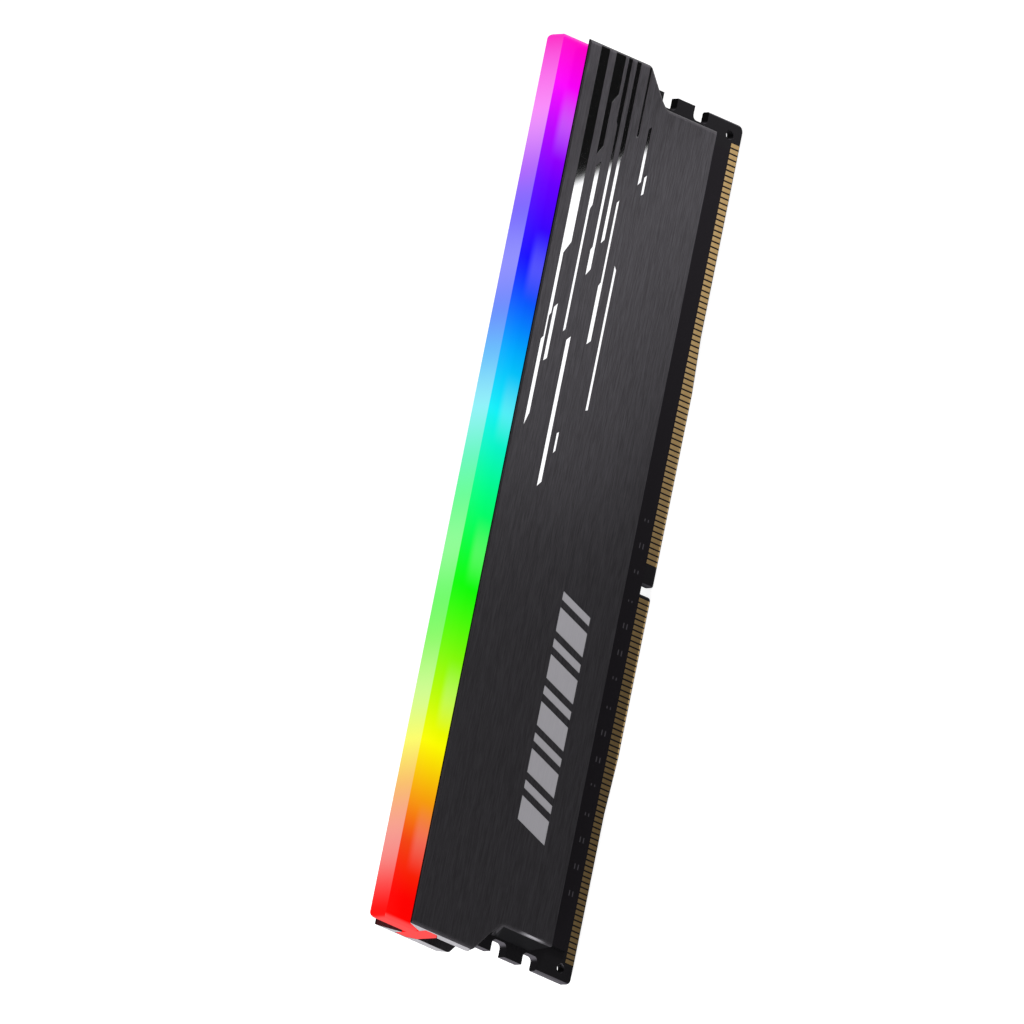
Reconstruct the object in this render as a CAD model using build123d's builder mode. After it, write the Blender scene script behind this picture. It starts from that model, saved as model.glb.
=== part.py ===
"""Memory module with a pressed heat spreader on each face and a lit bar along its top.

+X runs along the module towards the longer group of contacts, -Y is the decorated face,
+Z goes up from the contact edge. The origin is the middle of the contact edge.
All sizes are in millimetres.
"""

from build123d import *
import math
import os

# ---- circuit board ----
board_length = 133.35
board_height = 31.25
board_thickness = 1.4
board_corner = 1.0
edge_bevel = 0.2
edge_rise = 0.5
edge_low_right = 25.5
edge_high_right = 34.0
edge_low_left = 31.0
edge_high_left = 40.0
key_x = -5.575
key_width = 1.5
key_depth = 2.85
key_mouth_radius = 0.5
latch_notch_depth = 2.05
latch_notch_height = 3.0
latch_notch_bottoms = (8.0, 14.6)
latch_notch_radius = 0.75
tooling_hole_radius = 0.75
tooling_hole_x = 64.7
tooling_hole_z = 3.1

# ---- edge contacts ----
contact_pitch = 0.85
contact_width = 0.6
contact_top = 2.45
contact_gap = 0.08
contact_thickness = 0.03
right_contact_count = 77
left_contact_count = 67
right_contact_first = -1.275
left_contact_first = -63.325

# ---- heat spreader plates ----
plate_length = 137.3
plate_outer = 4.1
plate_inner = 2.02
plate_top = 37.15
plate_top_land = 0.25
plate_top_chamfer = 0.2
face_bottom = 8.8
slant_top = 24.1
slant_knee = 21.2
slant_foot = 19.5
lower_half_length = 63.2
slant_knee_x = 65.1
slant_radius = 1.3
upper_corner_radius = 1.0
wall_draft = 18
end_edge_radius = 0.65
flange_outer = 1.3
flange_inner = 0.75
flange_bottom = 3.0
flange_root = 6.9
flange_half_length = 62.2
corner_cut_top = 10.6
corner_cut_out = 64.5
pocket_half_length = 61.4
pocket_bottom = 7.6
ledge_height = 20.4

# ---- polished streaks, cut shallow into the face; each outline is (x, z) corners ----
streak_depth = 0.05
streak_end = plate_length / 2 + 1
streak_outlines = (
    (
        (9.3, 35.15), (22.7, 35.15), (23.2, 34.75), (streak_end, 34.8), (streak_end, 33.0),
        (38.4, 33.0), (36.4, 34.15), (27.1, 34.15), (26.5, 34.45), (11.4, 34.45),
    ),
    ((19.7, 33.85), (28.0, 33.85), (28.8, 33.2), (20.3, 33.2)),
    (
        (52.4, 31.6), (streak_end, 31.6), (streak_end, 29.6),
        (62.3, 29.6), (60.8, 30.6), (54.0, 30.6),
    ),
    ((25.1, 31.15), (50.9, 31.15), (51.7, 30.35), (45.0, 30.35), (44.3, 30.7), (25.6, 30.7)),
    (
        (34.5, 28.95), (38.5, 28.95), (39.0, 28.65), (57.9, 28.65), (58.4, 28.95),
        (streak_end, 28.95), (streak_end, 28.15), (35.7, 28.15),
    ),
    ((40.0, 27.2), (streak_end, 27.15), (streak_end, 26.3), (53.9, 26.3), (53.3, 26.6), (40.8, 26.6)),
    ((24.7, 26.0), (33.8, 26.0), (34.4, 25.65), (46.8, 25.65), (47.3, 25.25), (25.5, 25.25)),
    ((57.2, 24.4), (streak_end, 24.4), (streak_end, 24.05), (57.7, 24.05)),
    ((15.2, 23.55), (37.7, 23.55), (37.1, 23.1), (15.4, 23.1)),
    ((1.4, 30.1), (24.1, 30.1), (24.9, 29.35), (2.3, 29.35)),
    ((7.1, 28.25), (10.2, 28.25), (10.5, 27.85), (7.6, 27.85)),
    ((50.6, 22.3), (59.3, 22.3), (59.8, 21.75), (51.3, 21.75)),
    ((49.3, 21.25), (52.1, 21.25), (52.6, 20.8), (49.7, 20.8)),
)

# ---- plain mark on the face: pairs of slanted bars, cut as shallow as the streaks ----
mark_start = -49.4
mark_bottom = 14.3
mark_top = 20.6
mark_lean = 19
mark_bar_widths = (3.7, 1.3)
mark_bar_gap = 1.15
mark_pairs = 5

# ---- groove that holds the light bar ----
groove_depth = 3.3
groove_bottom = 31.05
groove_slant_bottom = 29.75
groove_top = 33.45
tooth_tip = 1.85
tooth_tip_height = 33.38

# ---- light bar ----
bar_length = 137.3
bar_top = 40.6
neck_half = 1.74
bar_foot_half = 3.2
bar_foot_bottom = 29.9
bar_foot_corner = 31.15
bar_foot_top = 33.3
bar_end_radius = 0.9
bar_edge_radius = 0.12
slot_half = 0.78
slot_end_gap = 0.3

# ---- memory chips and thermal pads ----
chip_width = 9.0
chip_height = 11.0
chip_thickness = 1.0
chip_centre_height = 17.0
chip_first = 9.8
chip_step = 14.2
chips_per_side = 4
chip_corner = 0.25
dot_radius = 0.4
dot_depth = 0.1
pad_half_length = 58.0
pad_bottom = 10.8
pad_top = 23.2
pad_corner = 1.5

# ---- lights and small electronics ----
led_spacing = 22.2
led_count = 6
led_width = 3.0
led_depth = 0.85
led_bottom = 28.65
led_top = 29.75
lens_width = 2.2
lens_depth = 0.45
lens_recess = 0.15
controller_side = 3.0
controller_thickness = 0.75
controller_height = 25.9
serial_chip_width = 2.0
serial_chip_height = 3.0
serial_chip_thickness = 0.75
serial_chip_centre = 14.0
resistor_width = 1.6
resistor_height = 0.8
resistor_thickness = 0.4
resistor_centre = 8.9
resistors_per_chip = 3
resistor_step = 2.6
capacitor_width = 1.0
capacitor_height = 0.5
capacitor_thickness = 0.5
capacitor_centre = 24.2
capacitors_per_chip = 3
capacitor_step = 3.0

board_face = board_thickness / 2
half_board = board_length / 2
half_plate = plate_length / 2
half_bar = bar_length / 2
slant_slope = (slant_top - slant_knee) / (half_plate - slant_knee_x)
overshoot = 6.0

front = Plane.XZ.offset(board_face)
rear = Plane(origin=(0, board_face, 0), x_dir=(-1, 0, 0), z_dir=(0, 1, 0))

chip_centres = []
for step in range(chips_per_side):
    chip_centres.append(chip_first + step * chip_step)
    chip_centres.append(-chip_first - step * chip_step)
chip_centres.sort()


def save(piece, name):
    """Label one finished piece and write it to its own file."""
    piece.part.label = name
    export_step(piece.part, f"parts/{name}.step")


def edge_height(x):
    """Height of the board's contact edge at x: low in the middle and raised towards both ends."""
    low, high = (edge_low_right, edge_high_right) if x > 0 else (edge_low_left, edge_high_left)
    rise = (abs(x) - low) / (high - low)
    return edge_rise * min(max(rise, 0.0), 1.0)


def mirrored(points):
    """The same outline points on the other side of the middle line."""
    return [(-x, z) for x, z in points]


def mark_outlines():
    """Corners of every slanted bar of the mark, from its left end."""
    lean = (mark_top - mark_bottom) * math.tan(math.radians(mark_lean))
    outlines = []
    left = mark_start
    for width in mark_bar_widths * mark_pairs:
        right = left + width
        outlines.append(
            (
                (left, mark_bottom),
                (right, mark_bottom),
                (right + lean, mark_top),
                (left + lean, mark_top),
            )
        )
        left = right + mark_bar_gap
    return outlines


os.makedirs("parts", exist_ok=True)


# ---- circuit board: outline, key notch, latch notches, tooling holes ----
with BuildPart() as circuit_board:
    with BuildSketch(Plane.XZ.offset(-board_face)) as board_outline:
        with BuildLine():
            Polyline(
                (-half_board, edge_rise),
                (-edge_high_left, edge_rise),
                (-edge_low_left, 0),
                (edge_low_right, 0),
                (edge_high_right, edge_rise),
                (half_board, edge_rise),
                (half_board, board_height),
                (-half_board, board_height),
                close=True,
            )
        make_face()
        outer_corners = board_outline.vertices().filter_by(lambda v: abs(v.X) > half_board - 0.01)
        fillet(outer_corners, board_corner)
        with Locations((key_x, key_depth / 2)):
            Rectangle(key_width, key_depth, mode=Mode.SUBTRACT)
        key_mouth = board_outline.vertices().filter_by(
            lambda v: abs(v.X - key_x) < key_width and abs(v.Y) < 0.01
        )
        fillet(key_mouth, key_mouth_radius)
        for bottom in latch_notch_bottoms:
            with Locations((0, bottom + latch_notch_height / 2)):
                with GridLocations(board_length, 0, 2, 1):
                    Rectangle(2 * latch_notch_depth, latch_notch_height, mode=Mode.SUBTRACT)
        notch_corners = board_outline.vertices().filter_by(
            lambda v: abs(abs(v.X) - half_board + latch_notch_depth) < 0.01
        )
        fillet(notch_corners, latch_notch_radius)
        with Locations((0, tooling_hole_z)):
            with GridLocations(2 * tooling_hole_x, 0, 2, 1):
                Circle(tooling_hole_radius, mode=Mode.SUBTRACT)
    extrude(amount=board_thickness)
    low_edges = circuit_board.edges().filter_by(
        lambda e: abs(abs(e.center().Y) - board_face) < 0.01
        and e.bounding_box().max.Z < edge_rise + 0.01
        and e.length > board_corner * 4
    )
    chamfer(low_edges, edge_bevel)
save(circuit_board, "circuit_board")


# ---- gold contacts: one row of flat pads on each face ----
contact_centres = [right_contact_first + i * contact_pitch for i in range(right_contact_count)]
contact_centres += [left_contact_first + i * contact_pitch for i in range(left_contact_count)]

with BuildPart() as front_contacts:
    with BuildSketch(front):
        for centre in contact_centres:
            base = edge_height(centre) + edge_bevel + contact_gap
            with Locations((centre, (base + contact_top) / 2)):
                Rectangle(contact_width, contact_top - base)
    extrude(amount=contact_thickness)
save(front_contacts, "front_contacts")

with BuildPart() as rear_contacts:
    mirror(front_contacts.part, about=Plane.XZ)
save(rear_contacts, "rear_contacts")


# ---- heat spreader plate: thick extruded wall with a shallow pan below it ----
with BuildPart() as front_plate:
    with BuildSketch(Plane.YZ.offset(-half_plate)):
        with BuildLine():
            Polyline(
                (-plate_outer, plate_top - plate_top_chamfer),
                (-plate_outer, face_bottom),
                (-flange_outer, flange_root),
                (-flange_outer, flange_bottom),
                (-flange_inner, flange_bottom),
                (-flange_inner, ledge_height),
                (-plate_inner, ledge_height),
                (-plate_inner, groove_slant_bottom),
                (-groove_depth, groove_bottom),
                (-groove_depth, groove_top),
                (-tooth_tip, tooth_tip_height),
                (-plate_outer + plate_top_chamfer + plate_top_land, plate_top),
                (-plate_outer + plate_top_chamfer, plate_top),
                close=True,
            )
        make_face()
    extrude(amount=plate_length)

    # the end outline, cut from the face inwards with drafted walls
    with BuildSketch(Plane.XZ.offset(plate_outer)) as end_cut:
        with BuildLine():
            Polyline(
                (half_plate + overshoot, slant_top + overshoot * slant_slope),
                (slant_knee_x, slant_knee),
                (lower_half_length, slant_foot),
                (lower_half_length, -overshoot),
                (half_plate + overshoot, -overshoot),
                close=True,
            )
        make_face()
        bends = end_cut.vertices().filter_by(lambda v: v.Y > 0 and v.X < half_plate)
        fillet(bends, slant_radius)
        mirror(about=Plane.YZ)
    extrude(amount=-plate_outer, taper=wall_draft, mode=Mode.SUBTRACT)

    # the flange is shorter than the pan, and a slanted corner joins them
    with BuildSketch(Plane.XZ):
        with BuildLine():
            Polyline(
                (flange_half_length, -1),
                (flange_half_length, flange_root),
                (corner_cut_out, corner_cut_top),
                (half_plate + overshoot, corner_cut_top),
                (half_plate + overshoot, -1),
                close=True,
            )
        make_face()
        mirror(about=Plane.YZ)
    extrude(amount=plate_outer, mode=Mode.SUBTRACT)

    # hollow behind the pan for the chips and their pad
    with BuildSketch(Plane.XZ.offset(flange_inner)) as pocket_outline:
        with Locations((0, (pocket_bottom + ledge_height) / 2)):
            Rectangle(2 * pocket_half_length, ledge_height - pocket_bottom)
        fillet(pocket_outline.vertices().group_by(Axis.Z)[0], pad_corner)
    extrude(amount=plate_inner - flange_inner, mode=Mode.SUBTRACT)

    upper_corners = front_plate.edges().filter_by(
        lambda e: abs(abs(e.center().X) - half_plate) < 0.01
        and abs(e.center().Z - slant_top) < slant_radius
        and e.length > 1
    )
    fillet(upper_corners, upper_corner_radius)
    end_edges = front_plate.edges().filter_by(
        lambda e: abs(e.center().Y + plate_outer) < 0.01
        and abs(e.center().X) > flange_half_length
        and face_bottom < e.center().Z < slant_top - 0.5
    )
    fillet(end_edges, end_edge_radius)

    with BuildSketch(Plane.XZ.offset(plate_outer)):
        for outline in (*streak_outlines, *mark_outlines()):
            with BuildLine():
                Polyline(*outline, close=True)
            make_face()
    extrude(amount=-streak_depth, mode=Mode.SUBTRACT)
save(front_plate, "front_plate")

with BuildPart() as rear_plate:
    mirror(front_plate.part, about=Plane.XZ)
save(rear_plate, "rear_plate")


# ---- light bar: translucent T-section with a slot for the board's top edge ----
with BuildPart() as light_bar:
    with BuildSketch(Plane.YZ.offset(-half_bar)):
        with BuildLine():
            half_section = [
                (neck_half, bar_top),
                (neck_half, bar_foot_top),
                (bar_foot_half, bar_foot_top),
                (bar_foot_half, bar_foot_corner),
                (plate_inner, bar_foot_bottom),
            ]
            Polyline(*half_section, *reversed(mirrored(half_section)), close=True)
        make_face()
    extrude(amount=bar_length)
    with BuildSketch(Plane.XZ.offset(-slot_half)):
        with Locations((0, (bar_foot_bottom + board_height) / 2)):
            Rectangle(board_length + 2 * slot_end_gap, board_height - bar_foot_bottom)
    extrude(amount=2 * slot_half, mode=Mode.SUBTRACT)
    neck_ends = light_bar.edges().filter_by(
        lambda e: abs(abs(e.center().X) - half_bar) < 0.01 and e.center().Z > bar_foot_top + 0.1
    )
    fillet(neck_ends, bar_end_radius)
    top_edges = light_bar.edges().filter_by(
        lambda e: e.center().Z > bar_top - 0.01 and e.length > board_length
    )
    fillet(top_edges, bar_edge_radius)
save(light_bar, "light_bar")


# ---- memory chips on the rear face, each with a dot at its first corner ----
for number, centre in enumerate(chip_centres, start=1):
    with BuildPart() as memory_chip:
        with BuildSketch(rear) as chip_outline:
            with Locations((-centre, chip_centre_height)):
                Rectangle(chip_width, chip_height)
            fillet(chip_outline.vertices(), chip_corner)
        extrude(amount=chip_thickness)
        dot_x = -centre + chip_width / 2 - 3 * dot_radius
        dot_z = chip_centre_height - chip_height / 2 + 3 * dot_radius
        with BuildSketch(rear.offset(chip_thickness)):
            with Locations((dot_x, dot_z)):
                Circle(dot_radius)
        extrude(amount=-dot_depth, mode=Mode.SUBTRACT)
    save(memory_chip, f"memory_chip_{number}")


# ---- thermal pads: thick between board and front plate, thin over the chips ----
def thermal_pad(plane, thickness):
    """One soft pad lying on a plane that faces away from the board."""
    with BuildPart() as pad:
        with BuildSketch(plane) as outline:
            with Locations((0, (pad_bottom + pad_top) / 2)):
                Rectangle(2 * pad_half_length, pad_top - pad_bottom)
            fillet(outline.vertices(), pad_corner)
        extrude(amount=thickness)
    return pad


front_pad = thermal_pad(front, plate_inner - board_face)
save(front_pad, "front_thermal_pad")
rear_pad = thermal_pad(rear.offset(chip_thickness), plate_inner - board_face - chip_thickness)
save(rear_pad, "rear_thermal_pad")


# ---- lights on the rear face, firing up into the bar ----
led_centres = [(i - (led_count - 1) / 2) * led_spacing for i in range(led_count)]
for number, centre in enumerate(led_centres, start=1):
    with BuildPart() as led:
        with BuildSketch(Plane.XY.offset(led_bottom)):
            with Locations((centre, board_face + led_depth / 2)):
                Rectangle(led_width, led_depth)
        extrude(amount=led_top - led_bottom)
        with BuildSketch(Plane.XY.offset(led_top)):
            with Locations((centre, board_face + led_depth / 2)):
                Rectangle(lens_width, lens_depth)
        extrude(amount=-lens_recess, mode=Mode.SUBTRACT)
    save(led, f"led_{number}")


# ---- small chips, resistors and capacitors on the rear face ----
def rear_blocks(centres, width, height, thickness, corner=0.0):
    """Flat blocks of one size standing on the rear face, at (x, z) centres."""
    with BuildPart() as blocks:
        with BuildSketch(rear) as outline:
            for x, z in centres:
                with Locations((-x, z)):
                    Rectangle(width, height)
            if corner:
                fillet(outline.vertices(), corner)
        extrude(amount=thickness)
    return blocks


def row_by_chip(count, step, height):
    """Centres of a row of blocks, a few beside each memory chip."""
    centres = []
    for chip in chip_centres:
        for i in range(count):
            centres.append((chip + (i - (count - 1) / 2) * step, height))
    return centres


light_controller = rear_blocks(
    [(0, controller_height)], controller_side, controller_side, controller_thickness, chip_corner
)
save(light_controller, "light_controller")

serial_chip = rear_blocks(
    [(0, serial_chip_centre)],
    serial_chip_width,
    serial_chip_height,
    serial_chip_thickness,
    chip_corner,
)
save(serial_chip, "serial_presence_chip")

resistors = rear_blocks(
    row_by_chip(resistors_per_chip, resistor_step, resistor_centre),
    resistor_width,
    resistor_height,
    resistor_thickness,
)
save(resistors, "resistor_networks")

capacitors = rear_blocks(
    row_by_chip(capacitors_per_chip, capacitor_step, capacitor_centre),
    capacitor_width,
    capacitor_height,
    capacitor_thickness,
)
save(capacitors, "capacitors")
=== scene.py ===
"""Looks of a desktop memory module: brushed plates, polished streaks, a lit bar and a contact edge.

Run as a script, it loads the packed model as a fixed frame, gives every part its finish, lays thin
polished and printed pieces in the plates' recesses, and sets up the floor, lights and camera.
Places in the materials are in millimetres, because that is the scale of the grain and the print.
"""

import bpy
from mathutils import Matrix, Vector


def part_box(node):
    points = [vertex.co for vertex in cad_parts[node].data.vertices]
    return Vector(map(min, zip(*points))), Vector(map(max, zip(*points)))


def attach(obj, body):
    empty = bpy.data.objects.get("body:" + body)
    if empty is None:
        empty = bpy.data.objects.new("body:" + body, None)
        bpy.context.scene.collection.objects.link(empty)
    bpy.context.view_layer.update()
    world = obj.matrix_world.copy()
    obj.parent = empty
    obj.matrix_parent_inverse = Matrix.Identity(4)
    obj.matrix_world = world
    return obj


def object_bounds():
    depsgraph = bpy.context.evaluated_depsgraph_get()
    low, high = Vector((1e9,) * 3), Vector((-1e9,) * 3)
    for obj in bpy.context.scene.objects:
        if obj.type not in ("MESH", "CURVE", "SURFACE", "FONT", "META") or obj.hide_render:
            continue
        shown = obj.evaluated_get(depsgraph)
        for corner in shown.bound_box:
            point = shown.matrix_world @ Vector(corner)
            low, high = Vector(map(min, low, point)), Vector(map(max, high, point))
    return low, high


bl_info = {
    "name": "Memory Module Looks",
    "version": (1, 0, 0),
    "blender": (4, 5, 0),
    "location": "View3D > Sidebar > Memory Module",
    "description": "Finishes the parts of a memory module and lights them on a pale floor",
    "category": "Object",
}

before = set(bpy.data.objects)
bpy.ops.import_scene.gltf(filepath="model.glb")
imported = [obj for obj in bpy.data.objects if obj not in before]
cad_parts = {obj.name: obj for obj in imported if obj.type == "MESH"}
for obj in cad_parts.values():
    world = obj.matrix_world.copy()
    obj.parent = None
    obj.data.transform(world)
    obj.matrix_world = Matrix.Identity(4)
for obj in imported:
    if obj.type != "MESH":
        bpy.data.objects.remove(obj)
cad_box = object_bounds()

import math

import bmesh
import bpy
from bpy.props import FloatProperty, FloatVectorProperty, PointerProperty
from mathutils import Matrix, Vector

MM = 0.001
BODY = "root"


def display(red, green, blue):
    """A colour given as screen values from 0 to 255, as the linear values that a shader takes."""
    linear = []
    for value in (red, green, blue):
        part = value / 255
        linear.append(part / 12.92 if part <= 0.04045 else ((part + 0.055) / 1.055) ** 2.4)
    return tuple(linear)


def scaled(tint, factor):
    """A colour with each of its three parts multiplied by a factor."""
    return [factor * part for part in tint]


def colour(name, description, default):
    """A colour property."""
    return FloatVectorProperty(
        name=name, description=description, subtype="COLOR", size=3, min=0, max=1, default=default
    )


def length(name, description, default):
    """A length property, in metres."""
    return FloatProperty(name=name, description=description, unit="LENGTH", min=0, default=default)


def share(name, description, default):
    """A property that is a share of the whole, from 0 to 1."""
    return FloatProperty(
        name=name, description=description, subtype="FACTOR", min=0, max=1, default=default
    )


def strength(name, description, default):
    """A strength from 0 up."""
    return FloatProperty(name=name, description=description, min=0, default=default)


def power(name, description, default):
    """The power of a light, in watts."""
    return FloatProperty(name=name, description=description, unit="POWER", min=0, default=default)


def angle(name, description, degrees):
    """An angle property with its default in degrees."""
    return FloatProperty(
        name=name, description=description, subtype="ANGLE", default=math.radians(degrees)
    )


# ---- shader building ----


class Wire:
    """One shader value. Arithmetic on it adds Math nodes to its finish."""

    def __init__(self, finish, socket):
        self.finish = finish
        self.socket = socket

    def math(self, operation, *values):
        """A Math node on these values."""
        settings = {"operation": operation}
        return self.finish.node("ShaderNodeMath", settings, dict(enumerate(values)))

    def __add__(self, other):
        return self.math("ADD", self, other)

    def __sub__(self, other):
        return self.math("SUBTRACT", self, other)

    def __rsub__(self, other):
        return self.math("SUBTRACT", other, self)

    def __mul__(self, other):
        return self.math("MULTIPLY", self, other)

    def __abs__(self):
        return self.math("ABSOLUTE", self)

    __radd__ = __add__
    __rmul__ = __mul__

    def between(self, low, high):
        """The value held between two limits."""
        held = self.math("MAXIMUM", self, low)
        return held.math("MINIMUM", held, high)

    def above(self, edge, softness=0.01):
        """1 where the value is above the edge and 0 below it."""
        settings = {"interpolation_type": "SMOOTHSTEP"}
        ends = {"From Min": edge - softness, "From Max": edge + softness}
        return self.finish.node("ShaderNodeMapRange", settings, {"Value": self, **ends})

    def within(self, low, high, softness=0.01):
        """1 where the value is between low and high."""
        return self.above(low, softness) * (1 - self.above(high, softness))

    def from_nearest(self, first, step):
        """How far the value is from the nearest of a row of places one step apart."""
        return self.math("WRAP", self - first, step / 2, -step / 2)


class Finish:
    """One procedural material, built node by node."""

    def __init__(self, name):
        self.material = bpy.data.materials.new(name)
        self.material.use_nodes = True
        self.tree = self.material.node_tree
        self.tree.nodes.clear()

    def node(self, kind, settings, sockets, output=0):
        """Add a node: its settings first, then the value or link of each socket."""
        made = self.tree.nodes.new(kind)
        for name, value in settings.items():
            if name == "stops":
                self.set_stops(made.color_ramp.elements, value)
            else:
                setattr(made, name, value)
        for key, value in sockets.items():
            socket = made.inputs[key]
            if isinstance(value, Wire):
                self.tree.links.new(value.socket, socket)
            elif socket.type == "RGBA":
                socket.default_value = (*value[:3], 1)
            else:
                socket.default_value = value
        return Wire(self, made.outputs[output]) if made.outputs else None

    @staticmethod
    def set_stops(elements, stops):
        """Give a ramp its stops, each a place and a colour."""
        while len(elements) < len(stops):
            elements.new(1)
        for element, (place, tint) in zip(elements, stops):
            element.position = place
            element.color = (*tint[:3], 1)

    def parts(self, vector):
        """The three numbers of a vector."""
        return [
            self.node("ShaderNodeSeparateXYZ", {}, {0: vector}, output) for output in range(3)
        ]

    def place(self):
        """x, y and z in millimetres, in the module's own frame."""
        return [part * 1000 for part in self.parts(self.node("ShaderNodeTexCoord", {}, {}, 3))]

    def facing(self):
        """The three numbers of the surface's direction."""
        return self.parts(self.node("ShaderNodeNewGeometry", {}, {}, 3))

    def noise(self, x, y, z, detail=2.0):
        """Noise from 0 to 1 that has one swell for each unit of x, y and z."""
        vector = self.node("ShaderNodeCombineXYZ", {}, {0: x, 1: y, 2: z})
        sockets = {"Vector": vector, "Scale": 1.0, "Detail": detail, "Roughness": 0.6}
        return self.node("ShaderNodeTexNoise", {}, sockets)

    def mix(self, mask, first, second):
        """The first colour where the mask is 0 and the second where it is 1."""
        settings = {"data_type": "RGBA"}
        return self.node("ShaderNodeMix", settings, {0: mask, 6: first, 7: second}, 2)

    def bump(self, height, depth, strength=1.0):
        """A surface direction from a height between 0 and 1 over a depth in millimetres."""
        sockets = {"Height": height, "Distance": depth * MM, "Strength": strength}
        return self.node("ShaderNodeBump", {}, sockets)

    def surface(self, sockets):
        """Close the material with a Principled shader."""
        self.close(self.node("ShaderNodeBsdfPrincipled", {}, sockets))
        return self.material

    def close(self, shader):
        """Show a shader on the surface."""
        self.node("ShaderNodeOutputMaterial", {"target": "ALL"}, {"Surface": shader})


def paint(names, material):
    """Give a finish to CAD nodes by name."""
    for name in names:
        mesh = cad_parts[name].data
        mesh.materials.clear()
        mesh.materials.append(material)


def numbered(stem):
    """The names of the CAD nodes that start with a stem."""
    return sorted(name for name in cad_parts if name.startswith(stem))


def add_piece(name, bm, material):
    """Turn a bmesh into a piece of the module that rides with it."""
    mesh = bpy.data.meshes.new(name)
    bm.to_mesh(mesh)
    bm.free()
    mesh.materials.append(material)
    piece = bpy.data.objects.new(name, mesh)
    bpy.context.scene.collection.objects.link(piece)
    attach(piece, BODY)
    return piece


# ---- plates ----

PLATES = {"front": "front_plate", "rear": "rear_plate"}


class PlateLook(bpy.types.PropertyGroup):
    """Sizes and colours of the heat spreader plates."""

    anodised: colour("Anodised", "Brushed dark coat, between the bright lines", display(57, 55, 58))
    brushed: colour("Brushed", "Bright lines of the brushed coat", display(74, 72, 76))
    # Painted shade: this near-black stands in for the shade that falls on the flange under the pan's
    # lower lip.
    flange: colour("Flange", "Coat of the thin flange over the contacts", display(19, 17, 20))
    # Painted shade: a near-black laid where shade falls, on the pan's end walls, the top land beside
    # the bar and the sides of the recesses.
    shadow: colour("Shadow", "Coat on the pan's end walls and the top edges", display(8, 8, 9))
    # Painted highlight: a light grey that stands in for a lamp's highlight on the middle of the pan's
    # rounded left edge.
    painted_highlight: colour("Burnished", "Rubbed spot on the pan's rounded left edge", display(190, 188, 194))
    bare: colour("Bare", "Bare metal at the sawn ends", display(196, 194, 199))
    polish: colour("Polish", "Polished streaks", display(250, 250, 252))
    ink: colour("Mark", "Bars of the plain mark", display(158, 156, 161))
    faint_ink: colour("Dashes", "Dashes printed along the flange", display(54, 52, 56))
    grain_width: length("Grain width", "Width of one brush line", 0.09 * MM)
    grain_length: length("Grain length", "Length of one brush line", 2.6 * MM)
    film: length("Film", "Thickness of the pieces laid in the recesses", 0.03 * MM)


FLANGE_OUT = 1.5
PAN_BOTTOM = 8.5
PAN_TOP = 20.0
TOP_EDGE = 36.0
FACE_OUT = 4.0
# Heights of the painted highlight on the pan's rounded left edge.
HIGHLIGHT_HEIGHTS = (11.0, 14.5)
DASH_PITCH = 4.15
DASH_FIRST = -53.6
DASH_HALF = 0.42
DASH_LINES = ((4.15, 4.35), (4.85, 5.05))
DASH_RANGE = (-56.0, 4.5)
DASH_GAPS = (-39.0, -22.5, -6.0)
RECESS_DEPTH = 0.05


def brush_lines(finish, look, x, y, z):
    """Fine uneven lines that run along the module, from 0 to 1."""
    along = x * (MM / look.grain_length)
    across = MM / look.grain_width
    waver = finish.noise(x * 0.12, y * 0.4, z * 0.4, 1.0) * 0.2
    fine = finish.noise(along, y * across, (z + waver) * across, 3.0)
    broad = finish.noise(x * 0.04, y * 1.3, (z + waver) * 1.3, 2.0)
    return fine * 0.88 + broad * 0.12


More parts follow.
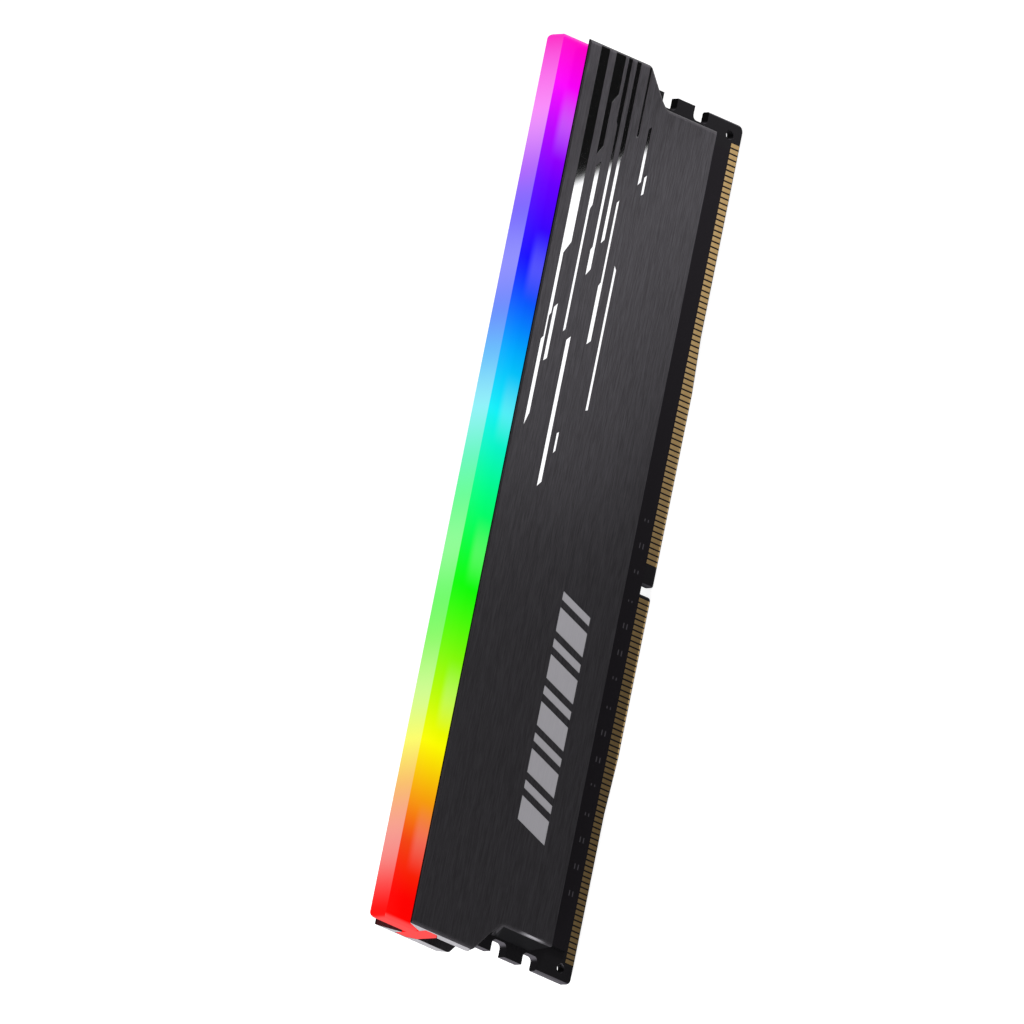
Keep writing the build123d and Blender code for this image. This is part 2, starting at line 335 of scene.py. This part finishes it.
def brushed_coat(look):
    """Brushed dark anodised metal, bare where it was sawn, with dashes printed on the flange; painted
    shade darkens the flange, the pan's end walls, the top land and the recess sides, and a painted
    highlight lightens the left rounded edge.
    """
    finish = Finish("brushed_anodised_metal")
    x, y, z = finish.place()
    facing_x, facing_y, facing_z = finish.facing()
    lines = brush_lines(finish, look, x, y, z)
    tone = finish.mix(lines.above(0.5, 0.2), look.anodised, look.brushed)

    flange = 1 - abs(y).above(FLANGE_OUT, 0.1)
    # Painted shade: the flange below the pan takes the near-black of the shade under the pan's lip.
    flange_shaded = finish.mix(flange * (1 - z.above(PAN_BOTTOM, 0.1)), tone, look.flange)

    across_dash = 1 - abs(x.from_nearest(DASH_FIRST, DASH_PITCH)).above(DASH_HALF, 0.04)
    lower, upper = (z.within(*heights, 0.05) for heights in DASH_LINES)
    dashes = across_dash * (lower + upper) * x.within(*DASH_RANGE, 0.04)
    for gap in DASH_GAPS:
        dashes = dashes * abs(x - gap).above(DASH_PITCH / 2)
    outside = abs(facing_y).above(0.9, 0.02)
    printed = finish.mix(dashes * flange * outside, flange_shaded, look.faint_ink)

    # Painted shade: the pan's end walls, the top land beside the bar and the recess sides take the
    # shadow colour and lose their metal, so they read as shaded.
    wall = abs(facing_x).above(0.9, 0.06) * (1 - z.above(PAN_TOP, 0.5))
    top_edge = facing_z.above(0.85, 0.05) * z.above(TOP_EDGE, 0.2)
    recess_side = abs(y).above(FACE_OUT, 0.03) * (1 - abs(facing_y).above(0.5, 0.1))
    painted_shade = (wall + top_edge + recess_side).between(0, 1)
    shade_painted = finish.mix(painted_shade, printed, look.shadow)
    # Painted highlight: the rounded edge at the left end only, between these heights, turns light grey
    # as if it caught the light.
    rounded = (0 - facing_x).within(0.35, 0.85, 0.1) * z.within(*HIGHLIGHT_HEIGHTS, 1.5)
    highlighted = finish.mix(rounded, shade_painted, look.painted_highlight)
    sawn = abs(facing_x).above(0.97, 0.01) * z.above(PAN_TOP, 0.5)
    scratches = finish.noise(x * 3, y * 2.2, z * 9, 2.0)
    base = finish.mix(sawn * (0.85 + scratches * 0.15), highlighted, look.bare)
    return finish.surface(
        {
            "Base Color": base,
            "Metallic": (1 - flange * 0.9) * (1 - painted_shade) * 0.9,
            "Roughness": 0.36 + lines * 0.16,
            "Specular IOR Level": 0.03,
            "Normal": finish.bump(lines, 0.006, 0.5),
        }
    )


def polished_metal(look):
    """Mirror-polished streaks with the faintest drag lines."""
    finish = Finish("polished_streak_metal")
    x, y, z = finish.place()
    drag = finish.noise(x * 0.2, y * 4, z * 4, 2.0)
    return finish.surface(
        {
            "Base Color": finish.mix(drag, look.polish, scaled(look.polish, 0.93)),
            "Metallic": 1.0,
            "Roughness": 0.05 + drag * 0.03,
            "Normal": finish.bump(drag, 0.001, 0.2),
        }
    )


def mark_ink(look):
    """Satin grey mark with the brush lines showing through."""
    finish = Finish("satin_grey_mark")
    x, y, z = finish.place()
    lines = brush_lines(finish, look, x, y, z)
    return finish.surface(
        {
            "Base Color": finish.mix(lines, look.ink, scaled(look.ink, 0.8)),
            "Metallic": 0.4,
            "Roughness": 0.4 + lines * 0.1,
            "Normal": finish.bump(lines, 0.004, 0.4),
        }
    )


def recess_floors(plate, film):
    """Thin closed solids that fill a plate's shallow recesses, each from the recess's own outline."""
    mesh = plate.data
    outer = max(abs(vertex.co.y) for vertex in mesh.vertices)
    floor = outer - RECESS_DEPTH * MM
    bm = bmesh.new()
    for polygon in mesh.polygons:
        corners = [mesh.vertices[index].co for index in polygon.vertices]
        if all(abs(abs(corner.y) - floor) < 0.002 * MM for corner in corners):
            bm.faces.new([bm.verts.new(corner) for corner in corners])
    bmesh.ops.remove_doubles(bm, verts=bm.verts, dist=0.0005 * MM)
    bmesh.ops.dissolve_limit(
        bm, angle_limit=math.radians(0.5), verts=bm.verts, edges=bm.edges
    )
    outward = math.copysign(1, bm.verts[:][0].co.y)
    raised = bmesh.ops.extrude_face_region(bm, geom=bm.faces, use_keep_orig=True)
    moved = [item for item in raised["geom"] if isinstance(item, bmesh.types.BMVert)]
    bmesh.ops.translate(bm, verts=moved, vec=(0, outward * film, 0))
    bmesh.ops.recalc_face_normals(bm, faces=bm.faces)
    return bm


def keep_side(bm, side):
    """Drop the solids on the other side of the module's middle: streaks are right, the mark is left."""
    dropped = [vertex for vertex in bm.verts if vertex.co.x * side < 0]
    bmesh.ops.delete(bm, geom=dropped, context="VERTS")
    return bm


class FinishPlates(bpy.types.Operator):
    """Brush the plates and leave their sawn ends bare"""

    bl_idname = "module.finish_plates"
    bl_label = "Plates"

    def execute(self, context):
        paint(PLATES.values(), brushed_coat(context.scene.plate_look))
        return {"FINISHED"}


class LayStreaks(bpy.types.Operator):
    """Lay the polished streaks in the plates' recesses"""

    bl_idname = "module.lay_streaks"
    bl_label = "Polished Streaks"

    def execute(self, context):
        look = context.scene.plate_look
        material = polished_metal(look)
        for side, plate in PLATES.items():
            bm = keep_side(recess_floors(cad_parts[plate], look.film), 1)
            add_piece(f"{side}_polished_streaks", bm, material)
        return {"FINISHED"}


class LayMark(bpy.types.Operator):
    """Lay the plain mark's slanted bars in the plates' recesses"""

    bl_idname = "module.lay_mark"
    bl_label = "Slanted Mark"

    def execute(self, context):
        look = context.scene.plate_look
        material = mark_ink(look)
        for side, plate in PLATES.items():
            bm = keep_side(recess_floors(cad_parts[plate], look.film), -1)
            add_piece(f"{side}_mark_bars", bm, material)
        return {"FINISHED"}


# ---- board and contacts ----


class BoardLook(bpy.types.PropertyGroup):
    """Colours of the circuit board and its contacts."""

    mask: colour("Solder mask", "Black coat on the board's faces", display(17, 16, 18))
    trace: colour("Traces", "Coat where a copper trace lies under it", display(25, 24, 26))
    # Partly painted light: the fibre edge is really paler, and this colour goes only on the end-facing
    # edges, where the side light falls.
    fibre: colour("Fibre edge", "Cut edge of the glass-fibre board", display(58, 56, 60))
    gold: colour("Gold", "Plating of the contacts", display(184, 157, 112))
    worn_gold: colour("Worn gold", "Plating where it is thin", display(168, 136, 84))


TRACE_FIRST = 0.0
TRACE_PITCH = 0.85
TRACE_HALF = 0.14
TRACE_HEIGHTS = (2.6, 6.4)
TRACE_END = 61.5


def solder_mask(look):
    """Black solder mask over faint traces, with a paler cut edge at the board's ends: the fibre is
    really paler, and only the end-facing edges get it, as painted light from the side.
    """
    finish = Finish("black_solder_mask")
    x, y, z = finish.place()
    facing_x = finish.facing()[0]
    trace = 1 - abs(x.from_nearest(TRACE_FIRST, TRACE_PITCH)).above(TRACE_HALF, 0.04)
    under_plate = z.within(*TRACE_HEIGHTS, 0.1) * (1 - abs(x).above(TRACE_END, 0.3))
    cloud = finish.noise(x * 0.8, y * 0.8, z * 0.8)
    coat = finish.mix(trace * under_plate * 0.7 + cloud * 0.2, look.mask, look.trace)
    # Partly painted light: only the edges facing the board's ends turn the paler fibre colour, as the
    # side light falls on them.
    lit_fibre_end = abs(facing_x).above(0.5, 0.3)
    fibres = finish.noise(x * 2, y * 14, z * 2, 3.0)
    base = finish.mix(lit_fibre_end * (0.7 + fibres * 0.3), coat, look.fibre)
    return finish.surface(
        {
            "Base Color": base,
            "Roughness": 0.42 + cloud * 0.1 + lit_fibre_end * 0.15,
            "Specular IOR Level": 0.04,
            "Normal": finish.bump(trace * under_plate + cloud * 0.3, 0.01, 0.6),
        }
    )


def contact_gold(look):
    """Gold plating with a soft rub line where the contacts slide into a socket."""
    finish = Finish("contact_gold")
    x, y, z = finish.place()
    rub = finish.noise(x * 6, y, z * 0.8, 3.0)
    band = z.within(1.0, 2.0, 0.4)
    return finish.surface(
        {
            "Base Color": finish.mix(rub * (0.6 + band * 0.4), look.gold, look.worn_gold),
            "Metallic": 1.0,
            "Roughness": 0.26 + rub * 0.14,
            "Normal": finish.bump(rub, 0.003, 0.3),
        }
    )


class FinishBoard(bpy.types.Operator):
    """Coat the circuit board with black solder mask"""

    bl_idname = "module.finish_board"
    bl_label = "Circuit Board"

    def execute(self, context):
        paint(["circuit_board"], solder_mask(context.scene.board_look))
        return {"FINISHED"}


class FinishContacts(bpy.types.Operator):
    """Plate the edge contacts with gold"""

    bl_idname = "module.finish_contacts"
    bl_label = "Gold Contacts"

    def execute(self, context):
        paint(["front_contacts", "rear_contacts"], contact_gold(context.scene.board_look))
        return {"FINISHED"}


# ---- light bar ----


class BarLook(bpy.types.PropertyGroup):
    """Colours and glow of the light bar, from its red end to its pink end."""

    red: colour("Red", "Glow at the left end", display(254, 4, 2))
    vermilion: colour("Vermilion", "Glow between red and orange", display(242, 68, 18))
    orange: colour("Orange", "Glow between red and yellow", display(246, 148, 16))
    yellow: colour("Yellow", "Glow at the yellow light", display(252, 252, 2))
    lime: colour("Lime", "Glow between yellow and green", display(134, 248, 10))
    green: colour("Green", "Glow at the green light", display(16, 250, 10))
    spring: colour("Spring green", "Glow at the module's middle", display(4, 252, 128))
    cyan: colour("Cyan", "Glow at the cyan light", display(18, 238, 246))
    azure: colour("Azure", "Glow between cyan and blue", display(2, 170, 252))
    blue: colour("Blue", "Glow at the blue light", display(24, 14, 254))
    violet: colour("Violet", "Glow between blue and magenta", display(104, 2, 254))
    magenta: colour("Magenta", "Glow beside the right end", display(248, 2, 250))
    pink: colour("Pink", "Glow at the right end", display(254, 4, 194))
    # Partly painted reflection: the top face's paler glow stands in for the white surroundings mirrored
    # in the glossy top, besides its frosting.
    top_frost_and_reflection: share("Paleness", "White in the glow on the top face", 0.15)
    top_spot: share("Top spots", "White added on the top face over each light", 0.13)
    spot: share("Spots", "White in the glow on the sides just above each light", 0.08)
    glow: strength("Glow", "Strength of the glow", 0.98)


EYE_GAMMA = 2.2
GLOW_PLACES = {
    "red": -65.0,
    "vermilion": -56.5,
    "orange": -50.5,
    "yellow": -41.0,
    "lime": -28.0,
    "green": -16.5,
    "spring": -2.5,
    "cyan": 10.5,
    "azure": 20.0,
    "blue": 34.2,
    "violet": 46.0,
    "magenta": 61.0,
    "pink": 68.5,
}
PALE_MIDDLE = 1.3
TOP_SHIFT = 4.0
TOP_SHIFT_RANGE = (43.0, 61.0)
LIGHT_SPACING = 22.2
LIGHT_FIRST = 11.1
TOP_SPOT_HALF = 4.5
GLINT_HALF = 3.0
GLINT_TOP = 38.0


def lit_plastic(look):
    """Frosted plastic glowing in all the colours of the rainbow along its length."""
    finish = Finish("lit_frosted_plastic")
    x, y, z = finish.place()
    facing_x, _, facing_z = finish.facing()
    half = cad_box[1].x / MM
    stops = [
        ((place + half) / (2 * half), [part ** (1 / EYE_GAMMA) for part in getattr(look, name)])
        for name, place in GLOW_PLACES.items()
    ]
    upward = facing_z.above(0.5, 0.3)
    lit_from = x + upward * x.within(*TOP_SHIFT_RANGE, 5) * TOP_SHIFT
    along = (lit_from + half) * (0.5 / half)
    even = finish.node("ShaderNodeValToRGB", {"stops": stops}, {"Fac": along})
    rainbow = finish.node("ShaderNodeGamma", {}, {"Color": even, "Gamma": EYE_GAMMA})

    endward = abs(facing_x).above(0.5, 0.3)
    inner = 1 - abs(x - PALE_MIDDLE).above(half - 4, 4.5) * 0.97
    from_light = abs(x.from_nearest(LIGHT_FIRST, LIGHT_SPACING))
    spots = 1 - from_light.above(TOP_SPOT_HALF, TOP_SPOT_HALF)
    glints = 1 - from_light.above(GLINT_HALF, GLINT_HALF)
    low = 1 - z.above(GLINT_TOP, 0.8)
    frost = finish.noise(x * 1.5, y * 1.5, z * 1.5)
    # Partly painted reflection: upward faces get white in their glow for the mirrored white
    # surroundings, plus the brighter spots over each light.
    top_reflection_and_spots = upward * inner * (look.top_frost_and_reflection + spots * look.top_spot)
    white = top_reflection_and_spots + (endward * 0.07 + glints * low * look.spot) * (1 - upward)
    glow = finish.mix(white, rainbow, (1.0, 1.0, 1.0))
    return finish.surface(
        {
            "Base Color": finish.mix(0.97, rainbow, (0.0, 0.0, 0.0)),
            "Roughness": 0.3 + frost * 0.1,
            "Specular IOR Level": 0.05,
            "Emission Color": glow,
            "Emission Strength": look.glow,
            "Normal": finish.bump(frost, 0.004, 0.3),
        }
    )


class FinishLightBar(bpy.types.Operator):
    """Light the bar along the module's top"""

    bl_idname = "module.finish_light_bar"
    bl_label = "Light Bar"

    def execute(self, context):
        paint(["light_bar"], lit_plastic(context.scene.bar_look))
        return {"FINISHED"}


# ---- inside parts ----


class InsideLook(bpy.types.PropertyGroup):
    """Colours of the parts between the plates."""

    epoxy: colour("Epoxy", "Moulded chip cases", display(38, 38, 40))
    silicone: colour("Silicone", "Soft thermal pads", display(150, 156, 166))
    tin: colour("Tin", "Solder ends of resistors and capacitors", display(205, 205, 208))
    resist: colour("Resistor", "Middle of the resistors", display(22, 22, 24))
    ceramic: colour("Ceramic", "Middle of the capacitors", display(168, 138, 104))
    lamp: colour("Lamp case", "White cases of the lights", display(232, 230, 224))
    phosphor: colour("Phosphor", "Yellow lens of the lights", display(238, 205, 90))


CHIP_FIRST = 9.8
CHIP_STEP = 14.2


def moulded_epoxy(look):
    """Matt black chip cases with a fine sandy grain."""
    finish = Finish("moulded_epoxy")
    x, y, z = finish.place()
    sand = finish.noise(x * 12, y * 12, z * 12, 3.0)
    cloud = finish.noise(x * 0.6, y * 0.6, z * 0.6)
    return finish.surface(
        {
            "Base Color": finish.mix(sand * 0.5 + cloud * 0.3, look.epoxy, scaled(look.epoxy, 1.6)),
            "Roughness": 0.55 + sand * 0.2,
            "Specular IOR Level": 0.3,
            "Normal": finish.bump(sand, 0.02, 0.6),
        }
    )


def soft_silicone(look):
    """Grey thermal pads with specks of filler."""
    finish = Finish("soft_silicone")
    x, y, z = finish.place()
    filler = finish.noise(x * 5, y * 5, z * 5, 3.0)
    swell = finish.noise(x * 0.5, y * 0.5, z * 0.5)
    dark = scaled(look.silicone, 0.75)
    return finish.surface(
        {
            "Base Color": finish.mix(filler.above(0.5, 0.2), look.silicone, dark),
            "Roughness": 0.75 + filler * 0.15,
            "Specular IOR Level": 0.3,
            "Normal": finish.bump(filler * 0.4 + swell, 0.05, 0.6),
        }
    )


def soldered_block(name, look, body, half_body, step):
    """Small parts with tinned ends, a few beside each chip."""
    finish = Finish(name)
    x, y, z = finish.place()
    from_chip = abs(x).from_nearest(CHIP_FIRST, CHIP_STEP)
    ends = abs(from_chip.from_nearest(0.0, step)).above(half_body, 0.03)
    grain = finish.noise(x * 8, y * 8, z * 8, 3.0)
    dark = scaled(body, 0.8)
    return finish.surface(
        {
            "Base Color": finish.mix(ends, finish.mix(grain, body, dark), look.tin),
            "Metallic": ends,
            "Roughness": 0.55 - ends * 0.25 + grain * 0.1,
            "Normal": finish.bump(grain, 0.01, 0.5),
        }
    )


def lamp_case(look):
    """White light cases with a yellow lens sunk in the top."""
    finish = Finish("lamp_case")
    x, y, z = finish.place()
    facing_z = finish.facing()[2]
    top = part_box("led_1")[1].z / MM
    lens = facing_z.above(0.5, 0.2) * z.within(top - 0.3, top - 0.05, 0.02)
    speck = finish.noise(x * 9, y * 9, z * 9, 3.0)
    case = finish.mix(speck * 0.5, look.lamp, scaled(look.lamp, 0.85))
    return finish.surface(
        {
            "Base Color": finish.mix(lens, case, look.phosphor),
            "Roughness": 0.4 + speck * 0.15 - lens * 0.15,
            "Normal": finish.bump(speck, 0.006, 0.4),
        }
    )


class FinishChips(bpy.types.Operator):
    """Give the chips their moulded cases"""

    bl_idname = "module.finish_chips"
    bl_label = "Chips"

    def execute(self, context):
        chips = [*numbered("memory_chip"), "light_controller", "serial_presence_chip"]
        paint(chips, moulded_epoxy(context.scene.inside_look))
        return {"FINISHED"}


class FinishPads(bpy.types.Operator):
    """Make the thermal pads of soft silicone"""

    bl_idname = "module.finish_pads"
    bl_label = "Thermal Pads"

    def execute(self, context):
        pads = ["front_thermal_pad", "rear_thermal_pad"]
        paint(pads, soft_silicone(context.scene.inside_look))
        return {"FINISHED"}


class FinishSmallParts(bpy.types.Operator):
    """Tin the ends of the resistors and capacitors"""

    bl_idname = "module.finish_small_parts"
    bl_label = "Resistors and Capacitors"

    def execute(self, context):
        look = context.scene.inside_look
        resistors = soldered_block("resistor_glass", look, look.resist, 0.6, 2.6)
        capacitors = soldered_block("capacitor_ceramic", look, look.ceramic, 0.28, 3.0)
        paint(["resistor_networks"], resistors)
        paint(["capacitors"], capacitors)
        return {"FINISHED"}


class FinishLights(bpy.types.Operator):
    """Give the small lights white cases and yellow lenses"""

    bl_idname = "module.finish_lights"
    bl_label = "Lights"

    def execute(self, context):
        paint(numbered("led_"), lamp_case(context.scene.inside_look))
        return {"FINISHED"}


# ---- stage ----


class StageLook(bpy.types.PropertyGroup):
    """Floor, lights and camera."""

    azimuth: angle("Azimuth", "Turn of the camera about the module", -18.42)
    elevation: angle("Elevation", "Height of the camera above the floor, as an angle", 40.93)
    roll: angle("Roll", "Turn of the camera about its own view", 66.22)
    width: length("View width", "Width that the camera takes in", 151.32 * MM)
    floor: share("Floor", "Paleness of the floor", 0.4)
    floor_glow: share("Floor glow", "Light that the floor itself gives", 0.85)
    cloth_left: share("Cloth, left", "How much the cloth hides at the module's left end", 0.84)
    cloth_right: share("Cloth, right", "How much the cloth hides at the module's right end", 0.12)
    sky: strength("Sky", "Strength of the white surroundings", 0.3)
    key: power("Key", "Small softbox at the right", 0.33)
    side: power("Side", "Large softbox at the left", 3.0)


AIM = Vector((-0.766, 5.207, 25.42)) * MM
CAMERA_DISTANCE = 0.6
FLOOR_HALF = 3.0
CLOTH_HALF = 0.5
CLOTH_HEIGHT = 0.5
CLOTH_THICK_X = -12.0
CLOTH_THIN_X = 72.0
CLOTH_NEAR_Y = (9.0, 3.0)
CLOTH_NEAR_LEAD = 14.0
WINDOW_LEFT = (9.0, 6.0)
WINDOW_EDGE_X = 63.7
WINDOW_EDGE_Y = -28.2
WINDOW_SLOPE = -0.313
WINDOW_BLUR = 1.0
WINDOW_Y = (24.0, 46.0)
PATCH_Y = (14.0, 80.0)
PATCH_RIGHT = (125.0, 5.0)
KEY_PLACE = (0.145, -0.10, 0.014)
KEY_TARGET = (0.065, 0, 0.025)
KEY_SIDE = 0.03
LEFT_PLACE = (-0.35, -0.02, 0.12)
LEFT_TARGET = (0, 0, 0.02)
LEFT_SIDE = 0.2


def flat_square(name, half, height, material):
    """A flat square stage object, level, at a height."""
    mesh = bpy.data.meshes.new(name)
    corners = [
        (x, y, height) for x, y in ((-half, -half), (half, -half), (half, half), (-half, half))
    ]
    mesh.from_pydata(corners, [], [(0, 1, 2, 3)])
    mesh.materials.append(material)
    square = bpy.data.objects.new(name, mesh)
    bpy.context.scene.collection.objects.link(square)
    return square


def pale_floor(look):
    """Plain pale floor that also glows a little, so that shadows on it stay faint."""
    finish = Finish("pale_floor")
    x, y, z = finish.place()
    tooth = finish.noise(x * 0.3, y * 0.3, z)
    tone = finish.mix(tooth, [look.floor] * 3, [look.floor * 0.98] * 3)
    return finish.surface(
        {
            "Base Color": tone,
            "Roughness": 0.9,
            "Specular IOR Level": 0.0,
            "Emission Color": (1.0, 1.0, 1.0),
            "Emission Strength": look.floor_glow,
        }
    )


def shade_cloth(look):
    """Black net that dims what polished faces mirror: open in a window and solid past its end."""
    finish = Finish("shade_cloth")
    x, y, _ = finish.place()
    beside = abs(y)
    middle = (CLOTH_THIN_X + CLOTH_THICK_X) / 2
    near = 1 - beside.above(*CLOTH_NEAR_Y)
    rightward = (x + near * CLOTH_NEAR_LEAD).above(middle, CLOTH_THIN_X - middle)
    net = look.cloth_left - rightward * (look.cloth_left - look.cloth_right)
    past_edge = (x - WINDOW_EDGE_X - (WINDOW_EDGE_Y + beside) * WINDOW_SLOPE).above(0, WINDOW_BLUR)
    strip = beside.within(*WINDOW_Y, 2)
    window = strip * (1 - past_edge) * x.above(*WINDOW_LEFT)
    patch = beside.within(*PATCH_Y, 3) * past_edge * (1 - x.above(*PATCH_RIGHT))
    opacity = (net * (1 - window) * (1 - patch) + patch).between(0, 1)
    black = {"Base Color": (0.004, 0.004, 0.004), "Roughness": 1.0, "Specular IOR Level": 0.0}
    cloth = finish.node("ShaderNodeBsdfPrincipled", {}, black)
    clear = finish.node("ShaderNodeBsdfTransparent", {}, {})
    finish.close(finish.node("ShaderNodeMixShader", {}, {0: opacity, 1: clear, 2: cloth}))
    return finish.material


def add_camera(look):
    """An orthographic camera, turned, raised and rolled about the module."""
    a, e = look.azimuth, look.elevation
    back = Vector((math.sin(a) * math.cos(e), -math.cos(a) * math.cos(e), math.sin(e)))
    level = Vector((math.cos(a), math.sin(a), 0))
    upright = back.cross(level)
    right = level * math.cos(look.roll) - upright * math.sin(look.roll)
    up = back.cross(right)
    camera = bpy.data.objects.new("camera", bpy.data.cameras.new("camera"))
    camera.data.type = "ORTHO"
    camera.data.ortho_scale = look.width
    turned = Matrix((right, up, back)).transposed().to_4x4()
    camera.matrix_world = Matrix.Translation(AIM + back * CAMERA_DISTANCE) @ turned
    bpy.context.scene.collection.objects.link(camera)
    bpy.context.scene.camera = camera


def add_softbox(name, place, target, size, power):
    """A soft square light at a place, aimed at a target, all in metres and watts."""
    lamp = bpy.data.lights.new(name, "AREA")
    lamp.shape = "SQUARE"
    lamp.size = size
    lamp.energy = power
    box = bpy.data.objects.new(name, lamp)
    aim = Vector(target) - Vector(place)
    turned = aim.to_track_quat("-Z", "Y").to_matrix().to_4x4()
    box.matrix_world = Matrix.Translation(place) @ turned
    bpy.context.scene.collection.objects.link(box)


class SetStage(bpy.types.Operator):
    """Set up the floor, the lights and the camera"""

    bl_idname = "module.set_stage"
    bl_label = "Stage"

    def execute(self, context):
        look = context.scene.stage_look
        scene = context.scene
        scene.view_settings.view_transform = "Standard"
        scene.world = bpy.data.worlds.new("studio")
        scene.world.use_nodes = True
        sky = scene.world.node_tree.nodes["Background"].inputs
        sky["Color"].default_value = (1, 1, 1, 1)
        sky["Strength"].default_value = look.sky
        flat_square("floor", FLOOR_HALF, 0, pale_floor(look))
        cloth = flat_square("shade_cloth", CLOTH_HALF, CLOTH_HEIGHT * MM, shade_cloth(look))
        cloth.visible_camera = False
        cloth.visible_diffuse = False
        cloth.visible_shadow = False
        add_softbox("key", KEY_PLACE, KEY_TARGET, KEY_SIDE, look.key)
        add_softbox("side", LEFT_PLACE, LEFT_TARGET, LEFT_SIDE, look.side)
        add_camera(look)
        return {"FINISHED"}


# ---- panel and registration ----


class ModulePanel(bpy.types.Panel):
    """Buttons and settings for every part of the module"""

    bl_idname = "VIEW3D_PT_memory_module"
    bl_label = "Memory Module"
    bl_space_type = "VIEW_3D"
    bl_region_type = "UI"
    bl_category = "Memory Module"

    def draw(self, context):
        layout = self.layout
        for step in STEPS:
            layout.operator(step.bl_idname)
        for name, group in LOOKS.items():
            box = layout.box()
            box.label(text=group.__doc__)
            for key in group.__annotations__:
                box.prop(getattr(context.scene, name), key)


STEPS = (
    FinishPlates,
    LayStreaks,
    LayMark,
    FinishBoard,
    FinishContacts,
    FinishLightBar,
    FinishChips,
    FinishPads,
    FinishSmallParts,
    FinishLights,
    SetStage,
)
LOOKS = {
    "plate_look": PlateLook,
    "board_look": BoardLook,
    "bar_look": BarLook,
    "inside_look": InsideLook,
    "stage_look": StageLook,
}


def register():
    for group in LOOKS.values():
        bpy.utils.register_class(group)
    for name, group in LOOKS.items():
        setattr(bpy.types.Scene, name, PointerProperty(type=group))
    for step in STEPS:
        bpy.utils.register_class(step)
    bpy.utils.register_class(ModulePanel)


def unregister():
    bpy.utils.unregister_class(ModulePanel)
    for step in reversed(STEPS):
        bpy.utils.unregister_class(step)
    for name, group in LOOKS.items():
        delattr(bpy.types.Scene, name)
        bpy.utils.unregister_class(group)


def main():
    """Register everything and make every piece in order."""
    register()
    for step in STEPS:
        group, name = step.bl_idname.split(".")
        getattr(getattr(bpy.ops, group), name)()


if __name__ == "__main__":
    main()
